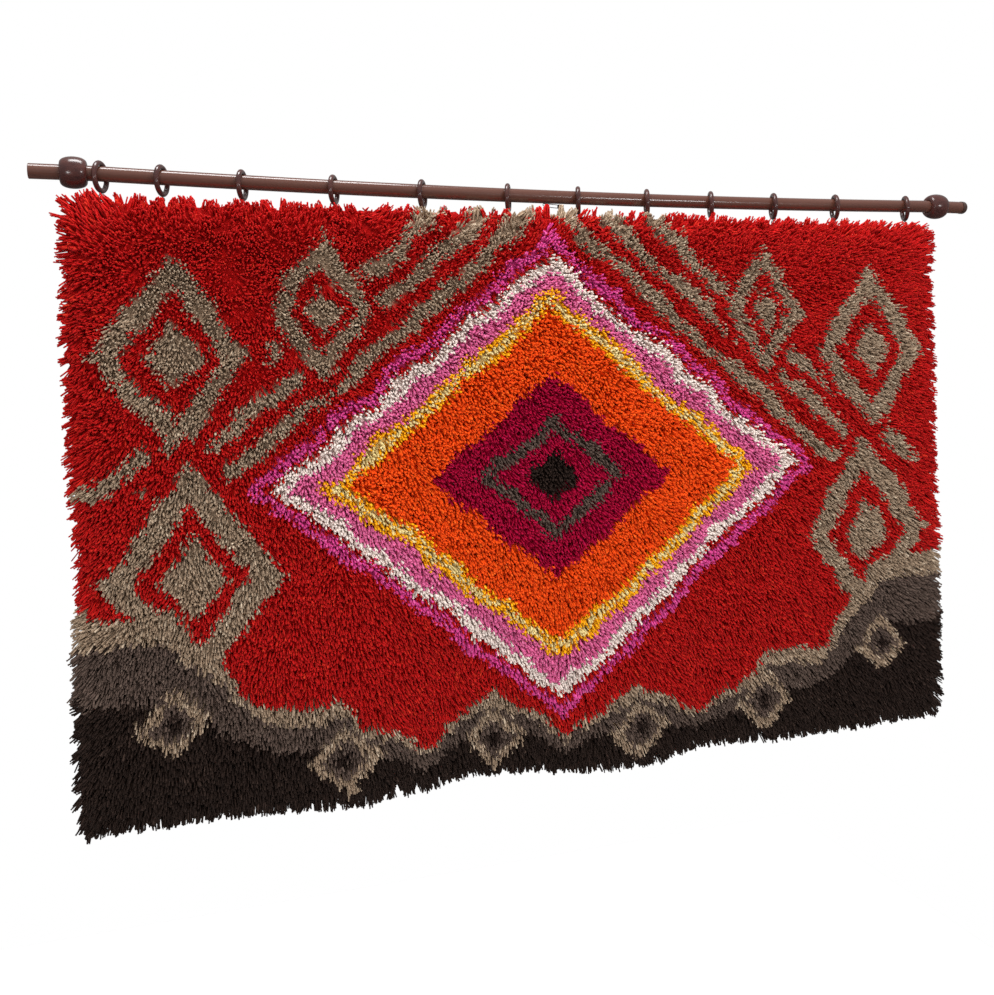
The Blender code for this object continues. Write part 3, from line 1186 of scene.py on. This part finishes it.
    def _piece(
        self, name: str, spots: np.ndarray, tone: np.ndarray, bent: np.ndarray, material: bpy.types.Material
    ) -> bpy.types.Object:
        """Joins strands into one piece. Those at the rim are bent, and the others run straight.

        Args:
            name: The piece's name.
            spots: The strands' points.
            tone: Their tones.
            bent: Which of them keep their middle points.
            material: The yarn's finish.

        Returns:
            The object, with each point's tone, and its reach from root to tip.
        """
        straight = spots[~bent][:, [0, 1, 2, 6, 7, 8]]
        curved = spots[bent]
        faces = [self._faces(2, len(straight)), self._faces(3, len(curved)) + straight.shape[0] * 6]
        points = np.concatenate([straight.reshape(-1, 3), curved.reshape(-1, 3)])
        made = piece_from(name, points, np.concatenate(faces), material)
        tones = np.concatenate([np.repeat(tone[~bent], 6), np.repeat(tone[bent], 9)])
        reach = np.concatenate(
            [
                np.tile(np.repeat(np.linspace(0, 1, stations), 3), len(strands))
                for stations, strands in ((2, straight), (3, curved))
            ]
        )
        for label, values in (("tone", tones), ("reach", reach)):
            kept = made.data.attributes.new(label, "FLOAT", "POINT")
            kept.data.foreach_set("value", values.astype(np.float32))
        stand_for(made, "rug")
        return made

    def _faces(self, stations: int, count: int) -> np.ndarray:
        """The triangles of a number of strands, each with so many rings of three points."""
        side = np.arange(3)
        beside = (side + 1) % 3
        walls = [
            np.stack([low + side, low + 3 + side, low + 3 + beside, low + beside], axis=1)
            for low in range(0, 3 * (stations - 1), 3)
        ]
        last = 3 * stations - 1
        one = np.concatenate([triangles_of(np.concatenate(walls)), [[0, 1, 2]], [[last, last - 1, last - 2]]])
        return (one[None] + 3 * stations * np.arange(count)[:, None, None]).reshape(-1, 3)


@dataclass
class Bed:
    """The lower part of the pile, packed so tight that it reads as one lumpy mass between the strands."""

    drape: Drape
    chart: Chart
    nap: Nap
    cell: float = 0.0063
    low: float = 0.0016
    reach: float = 0.0180
    rim_reach: float = 0.012
    lump: float = 0.0020
    painted_parting_shade: float = 0.5
    parting_reach: float = 0.05
    seed: int = 11

    def build(self) -> bpy.types.Object:
        """Makes the bed as a closed shell in front of the canvas, with the yarns' colours on its points,
        darkened by painted shade towards the rim, where the strands part.
        """
        sheet = Sheet(self.drape, self.chart, self.cell)
        across, down = sheet.across, sheet.down
        random = np.random.default_rng(self.seed)
        near = self.nap.near(across, down)
        reach = toward_rim(self.reach, self.rim_reach, near) + random.normal(0, self.lump, across.size)
        out, right, up = self.drape.axes(across, down)
        lean_x, lean_up = self.nap.lean(across, down)
        aim = unit(out + lean_x[:, None] * right + lean_up[:, None] * up)
        back = self.drape.place(across, down, self.low)
        # painted shade: the bed's colour darkens towards the rim, where the strands part
        shade = self.painted_parting_shade * near ** (self.nap.fan_reach / self.parting_reach)
        return sheet.make("under_pile", back, back + aim * reach[:, None], 1.0 - shade, BedFinish().make())


@dataclass
class Canvas:
    """The stiff canvas that the yarn is knotted through, seen from behind."""

    drape: Drape
    chart: Chart
    thickness: float = 0.0014
    cell: float = 0.013

    def build(self) -> bpy.types.Object:
        """Makes the canvas as a thin closed sheet, with the colour of the knots on its points."""
        sheet = Sheet(self.drape, self.chart, self.cell)
        back = self.drape.place(sheet.across, sheet.down)
        front = self.drape.place(sheet.across, sheet.down, self.thickness)
        return sheet.make("canvas", back, front, 1.0, CanvasFinish().make())


@dataclass
class Rod:
    """The lacquered rod, its round cap, and the two finials. It sags a little between the finials."""

    radius: float = 0.011
    sag: float = 0.009
    span: float = 0.738
    chamfer: float = 0.0008
    bore_gap: float = 0.0003
    face_radius: float = 0.013
    roundness: float = 0.8
    lip: float = 0.001
    dome_share: float = 0.6
    sharp: float = math.radians(35)
    bar_steps: tuple[int, int] = (90, 36)
    dome_steps: int = 12
    barrel_steps: int = 29
    steps: int = 56

    def build(self) -> None:
        """Makes the rod and what is on it."""
        self._bar(RodFinish().make())
        self._cap(RodFinish("cap_lacquer", linear(48, 32, 28), linear(62, 44, 38)).make())
        mahogany = MahoganyFinish().make()
        for node in ("finial_left", "finial_right"):
            self._finial(node, mahogany)

    def _bar(self, lacquer: bpy.types.Material) -> None:
        """The bar, with a slight chamfer at both ends."""
        low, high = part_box("rod")
        stations, sides = self.bar_steps
        run = np.linspace(low[0] + self.chamfer, high[0] - self.chamfer, stations)
        along = np.concatenate([[low[0]], run, [high[0]]])
        fall = self.sag * np.clip(1 - (along / self.span) ** 2, 0, None)
        radius = np.full(len(along), self.radius)
        radius[[0, -1]] -= self.chamfer
        solid = Solid().sweep(np.stack([along, np.zeros(len(along)), -fall], axis=1), radius, sides)
        self._finish(solid.make("rod_bar", lacquer), "rod")

    def _cap(self, lacquer: bpy.types.Material) -> None:
        """The round cap."""
        low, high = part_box("rod_cap")
        radius = (high[2] - low[2]) / 2
        dome = (high[0] - low[0]) * self.dome_share
        rise = np.linspace(0, math.pi / 2, self.dome_steps)
        edge = [(low[0], 0.0), (low[0], radius)]
        curve = [(high[0] - dome + dome * math.sin(a), radius * math.cos(a)) for a in rise]
        solid = Solid().lathe(np.array([*edge, *curve]), self.steps)
        self._finish(solid.make("rod_end_cap", lacquer), "rod_cap")

    def _finial(self, node: str, mahogany: bpy.types.Material) -> None:
        """A barrel-shaped finial with a bore for the rod."""
        low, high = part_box(node)
        start, end = low[0], high[0]
        middle, half = (start + end) / 2, (end - start) / 2
        lip, bore = self.lip, self.radius + self.bore_gap
        turns = np.linspace(-math.pi / 2, math.pi / 2, self.barrel_steps)
        bulge = (high[2] - low[2]) / 2 - self.face_radius
        swell = np.clip(np.cos(turns), 0, None) ** self.roundness
        outside = np.stack([middle + half * np.sin(turns), self.face_radius + bulge * swell], axis=1)
        profile = [(start + lip, bore), (start, bore + lip), *outside, (end, bore + lip), (end - lip, bore)]
        solid = Solid().lathe(np.array(profile), self.steps, closed=True)
        self._finish(solid.make(f"{node}_turned", mahogany), node)

    def _finish(self, made: bpy.types.Object, node: str) -> None:
        """Keeps a turned piece's edges crisp, and hides the CAD node that it stands for."""
        made.data.set_sharp_from_angle(angle=self.sharp)
        stand_for(made, node)
        LOG.info("%s stands for %s", made.name, node)


@dataclass
class Rings:
    """The twelve rings, each with a screw eye and a wire hook sewn to the canvas."""

    count: int = 12
    ring_radius: float = 0.01985
    ring_wire: float = 0.0039
    ring_steps: tuple[int, int] = (56, 14)
    eye_radius: float = 0.0036
    eye_wire: float = 0.0009
    eye_steps: tuple[int, int] = (28, 10)
    neck_depth: float = 0.0015
    neck_swell: float = 1.25
    hook_wire: float = 0.0007
    hook_steps: tuple[int, int] = (5, 10)
    hook_route: tuple[tuple[float, float], ...] = (
        (-0.0036, -0.0044),
        (-0.0036, -0.0024),
        (-0.0023, -0.0010),
        (0.0, -0.0006),
        (0.0024, -0.0013),
        (0.0034, -0.0042),
        (0.0022, -0.0130),
        (0.0006, -0.0220),
        (0.0006, -0.0520),
    )
    stitch_levels: tuple[float, ...] = (-0.0280, -0.0370, -0.0460)
    stitch_base: float = -0.0016
    stitch_rise: float = 0.0027
    stitch_spread: float = 0.0019
    stitch_slant: float = 0.0006
    stitch_radius: float = 0.00035
    stitch_roundness: float = 0.8
    stitch_steps: tuple[int, int] = (9, 6)

    def build(self) -> tuple[list[bpy.types.Object], bpy.types.Object]:
        """Makes every ring, eye, hook and stitch.

        Returns:
            The hooks, and the stitches that hold them.
        """
        mahogany = MahoganyFinish().make()
        steel = WireFinish("eye_steel", linear(186, 176, 168), 0.22).make()
        dark = WireFinish("hook_steel", linear(96, 86, 82), 0.26).make()
        hooks = []
        stitches = Solid()
        for number in range(1, self.count + 1):
            node = f"ring_{number:02d}"
            turn = self._turn_of(node)
            centre = node_centre(node)
            self._ring(node, centre, turn, mahogany)
            self._eye(f"eye_{number:02d}", turn, steel, centre)
            eye = node_centre(f"eye_{number:02d}")
            hooks.append(self._hook(f"hook_{number:02d}", eye, turn, dark))
            self._stitch(stitches, eye, turn)
        sewn = stitches.make("hook_stitches", ThreadFinish().make())
        LOG.info("rings: %d", self.count)
        return hooks, sewn

    def _turn_of(self, node: str) -> float:
        """How far a ring has turned about the vertical from square to the rod."""
        points = np.array([v.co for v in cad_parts[node].data.vertices])
        normal = np.linalg.svd(points - points.mean(axis=0), full_matrices=False)[2][2]
        return math.atan(normal[1] / normal[0])

    def _at(self, centre: Vector, turn: float) -> Matrix:
        """A place, turned about the vertical."""
        return Matrix.Translation(centre) @ Matrix.Rotation(turn, 4, "Z")

    def _ring(self, node: str, centre: Vector, turn: float, mahogany: bpy.types.Material) -> None:
        """One ring."""
        steps, sides = self.ring_steps
        angles = turns_round(steps)
        circle = np.stack([np.zeros(steps), np.cos(angles), np.sin(angles)], axis=1) * self.ring_radius
        solid = Solid().sweep(circle, self.ring_wire, sides, closed=True)
        stand_for(solid.make(f"{node}_round", mahogany, self._at(centre, turn)), node)

    def _eye(self, node: str, turn: float, steel: bpy.types.Material, ring: Vector) -> None:
        """A screw eye: its loop, and the neck that goes up into the ring."""
        centre = node_centre(node)
        steps, sides = self.eye_steps
        angles = turns_round(steps)
        loop = np.stack([np.cos(angles), np.zeros(steps), np.sin(angles)], axis=1) * self.eye_radius
        ring_bottom = ring.z - self.ring_radius - self.ring_wire - centre.z
        levels = (self.eye_radius, ring_bottom, ring_bottom + self.neck_depth)
        neck = np.array([(0.0, 0.0, level) for level in levels])
        solid = Solid().sweep(loop, self.eye_wire, sides, closed=True)
        solid.sweep(neck, np.array([1.0, self.neck_swell, self.neck_swell]) * self.eye_wire, sides)
        stand_for(solid.make(f"{node}_screwed", steel, self._at(centre, turn)), node)

    def _hook(self, node: str, eye: Vector, turn: float, dark: bpy.types.Material) -> bpy.types.Object:
        """A hook of bent wire through the eye and down behind the canvas."""
        steps, sides = self.hook_steps
        route = smooth_path([(0.0, y, z) for y, z in self.hook_route], steps)
        solid = Solid().sweep(route, self.hook_wire, sides)
        made = solid.make(f"{node}_bent", dark, self._at(eye, turn))
        stand_for(made, node)
        return made

    def _stitch(self, stitches: Solid, eye: Vector, turn: float) -> None:
        """Turns of thread that hold one hook to the canvas."""
        behind = self.hook_route[-1][0]
        middle = eye.x - behind * math.sin(turn)
        rise = self.stitch_rise + behind * math.cos(turn)
        steps, sides = self.stitch_steps
        angles = np.linspace(0, math.pi, steps)
        for level in self.stitch_levels:
            across = middle + self.stitch_spread * np.cos(angles)
            depth = self.stitch_base + rise * np.sin(angles) ** self.stitch_roundness
            height = eye.z + level + self.stitch_slant * np.cos(angles)
            stitches.sweep(np.stack([across, depth, height], axis=1), self.stitch_radius, sides)


@dataclass
class SafetyPin:
    """The closed safety pin in the tufts between the sixth and seventh rings."""

    tilt: float = math.radians(5.0)
    length: float = 0.032
    height: float = 0.005
    wire: float = 0.0006
    coil_radius: float = 0.0022
    coil_turn: tuple[float, float] = (60.0, 300.0)
    coil_steps: int = 15
    wire_steps: tuple[int, int] = (3, 10)
    lower_bow: float = 0.0003
    clasp: Triple = (0.0065, 0.0024, 0.0072)
    clasp_hold: float = 0.001
    clasp_roundness: float = 0.6
    clasp_sides: int = 32
    clasp_rows: tuple[tuple[float, float], ...] = ((0.0, 0.5), (0.75, 0.5), (0.94, 0.42), (1.0, 0.2))

    def build(self) -> None:
        """Makes the pin's wire and its clasp."""
        dark = WireFinish("pin_steel", linear(46, 40, 38), 0.3).make()
        half, rise = self.length / 2, self.height / 2
        clasp_centre = node_centre("pin_clasp")
        offset = Matrix.Rotation(self.tilt, 4, "Y") @ Vector((half - self.clasp[0] / 2, 0.0, 0.0))
        place = Matrix.Translation(clasp_centre - offset) @ Matrix.Rotation(self.tilt, 4, "Y")
        coil_x = -half + self.coil_radius
        turns = np.radians(np.linspace(*self.coil_turn, self.coil_steps))
        coil = [(coil_x + self.coil_radius * math.cos(a), 0.0, self.coil_radius * math.sin(a)) for a in turns]
        end = half - self.clasp[0] + self.clasp_hold
        lower = -rise - self.lower_bow
        route = [(end, 0.0, rise), (0.0, 0.0, rise), *coil, (0.0, 0.0, lower), (end, 0.0, -rise)]
        steps, sides = self.wire_steps
        solid = Solid().sweep(smooth_path(route, steps), self.wire, sides)
        stand_for(solid.make("pin_wire_bent", dark, place), "pin_wire")
        stand_for(self._clasp(place, half, dark), "pin_clasp")
        LOG.info("pin: at %s", clasp_centre)

    def _clasp(self, place: Matrix, half: float, dark: bpy.types.Material) -> bpy.types.Object:
        """The folded cap: a flat rounded shape across the two wires."""
        length, depth, height = self.clasp
        count = self.clasp_sides
        turns = turns_round(count)
        outline_x, outline_z = (
            np.sign(wave) * np.abs(wave) ** self.clasp_roundness * size / 2
            for wave, size in ((np.cos(turns), length), (np.sin(turns), height))
        )
        rows = []
        for share, y in [*((share, -y) for share, y in self.clasp_rows), *reversed(self.clasp_rows)]:
            row = np.stack([outline_x * share, np.full(count, y * depth), outline_z * share], axis=1)
            rows.append(row + [half - length / 2, 0.0, 0.0])
        solid = Solid().add(np.concatenate(rows), tube_faces(len(rows), count, False))
        return solid.make("pin_clasp_folded", dark, place)


@dataclass(frozen=True)
class Lamp:
    """A rectangular soft light: its middle, the point that it faces, its width and height, and its watts."""

    name: str
    place: Triple
    aim: Triple
    size: tuple[float, float]
    power: float
    mirrored: bool = True

    def make(self) -> None:
        """Hangs the light in the studio."""
        data = bpy.data.lights.new(self.name, "AREA")
        data.shape = "RECTANGLE"
        data.size, data.size_y = self.size
        data.energy = self.power
        light = bpy.data.objects.new(self.name, data)
        light.location = self.place
        light.visible_glossy = self.mirrored
        light.rotation_euler = (Vector(self.aim) - Vector(self.place)).to_track_quat("-Z", "Y").to_euler()
        bpy.context.scene.collection.objects.link(light)


RUG_MIDDLE = (-0.03, 0.0, -0.40)
LAMPS = (
    Lamp("key", (-0.05, -1.9, 1.3), RUG_MIDDLE, (2.4, 1.8), 57.0, mirrored=False),
    Lamp("ceiling", (-0.5, -0.15, 1.9), (-0.5, 0.0, 0.0), (1.3, 0.6), 36.0),
    Lamp("overhead", (0.35, -0.5, 1.9), (0.35, 0.0, 0.0), (1.4, 0.6), 23.0, mirrored=False),
    Lamp("right_lamp", (1.35, -2.5, -0.05), RUG_MIDDLE, (0.5, 0.34), 12.0),
    Lamp("left_lamp", (-1.68, -2.4, -0.5), RUG_MIDDLE, (0.34, 0.34), 8.0),
    Lamp("back", (0.0, 2.6, 1.6), RUG_MIDDLE, (2.4, 2.4), 45.0, mirrored=False),
)


@dataclass
class Studio:
    """The pale floor, the soft surroundings and the camera."""

    floor_level: float = -1.7
    floor_size: float = 2.4
    eye: Vector = field(default_factory=lambda: Vector((-0.6190, -1.5626, -0.3426)))
    yaw: float = math.radians(17.382)
    pitch: float = math.radians(-1.101)
    roll: float = math.radians(-1.499)
    lens: float = 36.18
    sensor: float = 36.0
    shift: float = -0.0794
    light_below: float = 0.31
    light_above: float = 1.37
    light_blend: float = 0.6
    mirrored_share: float = 0.3

    def build(self) -> None:
        """Makes the stage."""
        self._floor()
        self._world()
        for lamp in LAMPS:
            lamp.make()
        self._camera()

    def _floor(self) -> None:
        """A plain floor below the rug."""
        half = self.floor_size / 2
        points = np.array([(-half, -half, 0), (half, -half, 0), (half, half, 0), (-half, half, 0)], float)
        points[:, 2] = self.floor_level
        graph = Graph("floor_paint")
        paint = graph.shaded((0.97, 0.97, 0.97), graph.noise(3.0) * 0.02 + 0.99)
        graph.set({"Base Color": paint, "Roughness": 0.9})
        mesh = bpy.data.meshes.new("floor")
        mesh.from_pydata(points.tolist(), [], [(0, 1, 2, 3)])
        mesh.materials.append(graph.material)
        floor = bpy.data.objects.new("floor", mesh)
        bpy.context.scene.collection.objects.link(floor)
        floor.visible_glossy = False

    def _world(self) -> None:
        """White surroundings, brighter above than below, and dimmer where a glossy piece mirrors them."""
        scene = bpy.context.scene
        scene.world = bpy.data.worlds.new("studio")
        scene.world.use_nodes = True
        tree = Tree(scene.world.node_tree)
        facing = tree.node("ShaderNodeTexCoord", {}, {}).outputs["Generated"]
        height = tree.node("ShaderNodeSeparateXYZ", {}, {0: facing}).outputs["Z"]
        span = {"From Min": -self.light_blend, "From Max": self.light_blend}
        span |= {"Value": height, "To Min": self.light_below, "To Max": self.light_above}
        level = Signal(tree, tree.node("ShaderNodeMapRange", {}, span).outputs["Result"])
        rays = tree.node("ShaderNodeLightPath", {}, {}).outputs
        shown = level * (1.0 - Signal(tree, rays["Is Glossy Ray"]) * (1.0 - self.mirrored_share))
        inputs = {"Factor": rays["Is Camera Ray"], 2: shown, 3: 1.0}
        background = tree.tree.nodes["Background"]
        tree.feed(background.inputs["Strength"], tree.node("ShaderNodeMix", {}, inputs).outputs[0])
        tree.feed(background.inputs["Color"], (1.0, 1.0, 1.0))
        scene.view_settings.view_transform = "Standard"
        scene.view_settings.look = "None"

    def _camera(self) -> None:
        """The camera, turned to the right, a little down and a little over."""
        ahead = Vector(
            (
                math.sin(self.yaw) * math.cos(self.pitch),
                math.cos(self.yaw) * math.cos(self.pitch),
                math.sin(self.pitch),
            )
        )
        level = Vector((math.cos(self.yaw), -math.sin(self.yaw), 0.0))
        upright = level.cross(ahead)
        right = level * math.cos(self.roll) + upright * math.sin(self.roll)
        up = upright * math.cos(self.roll) - level * math.sin(self.roll)
        data = bpy.data.cameras.new("camera")
        data.lens = self.lens
        data.sensor_width = self.sensor
        data.shift_y = self.shift
        camera = bpy.data.objects.new("camera", data)
        camera.matrix_world = Matrix.Translation(self.eye) @ Matrix((right, up, -ahead)).transposed().to_4x4()
        bpy.context.scene.collection.objects.link(camera)
        bpy.context.scene.camera = camera


def main() -> None:
    """Builds the rug's pieces and the stage."""
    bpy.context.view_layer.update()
    drape = Drape()
    chart = Chart(drape.width, drape.height)
    nap = Nap(drape)
    canvas = Canvas(drape, chart).build()
    pile = [Bed(drape, chart, nap).build(), *Pile(drape, chart, nap).build()]
    Rod().build()
    hooks, stitches = Rings().build()
    SafetyPin().build()
    Studio().build()


if __name__ == "__main__":
    logging.basicConfig(level=logging.INFO, format="%(message)s")
    main()
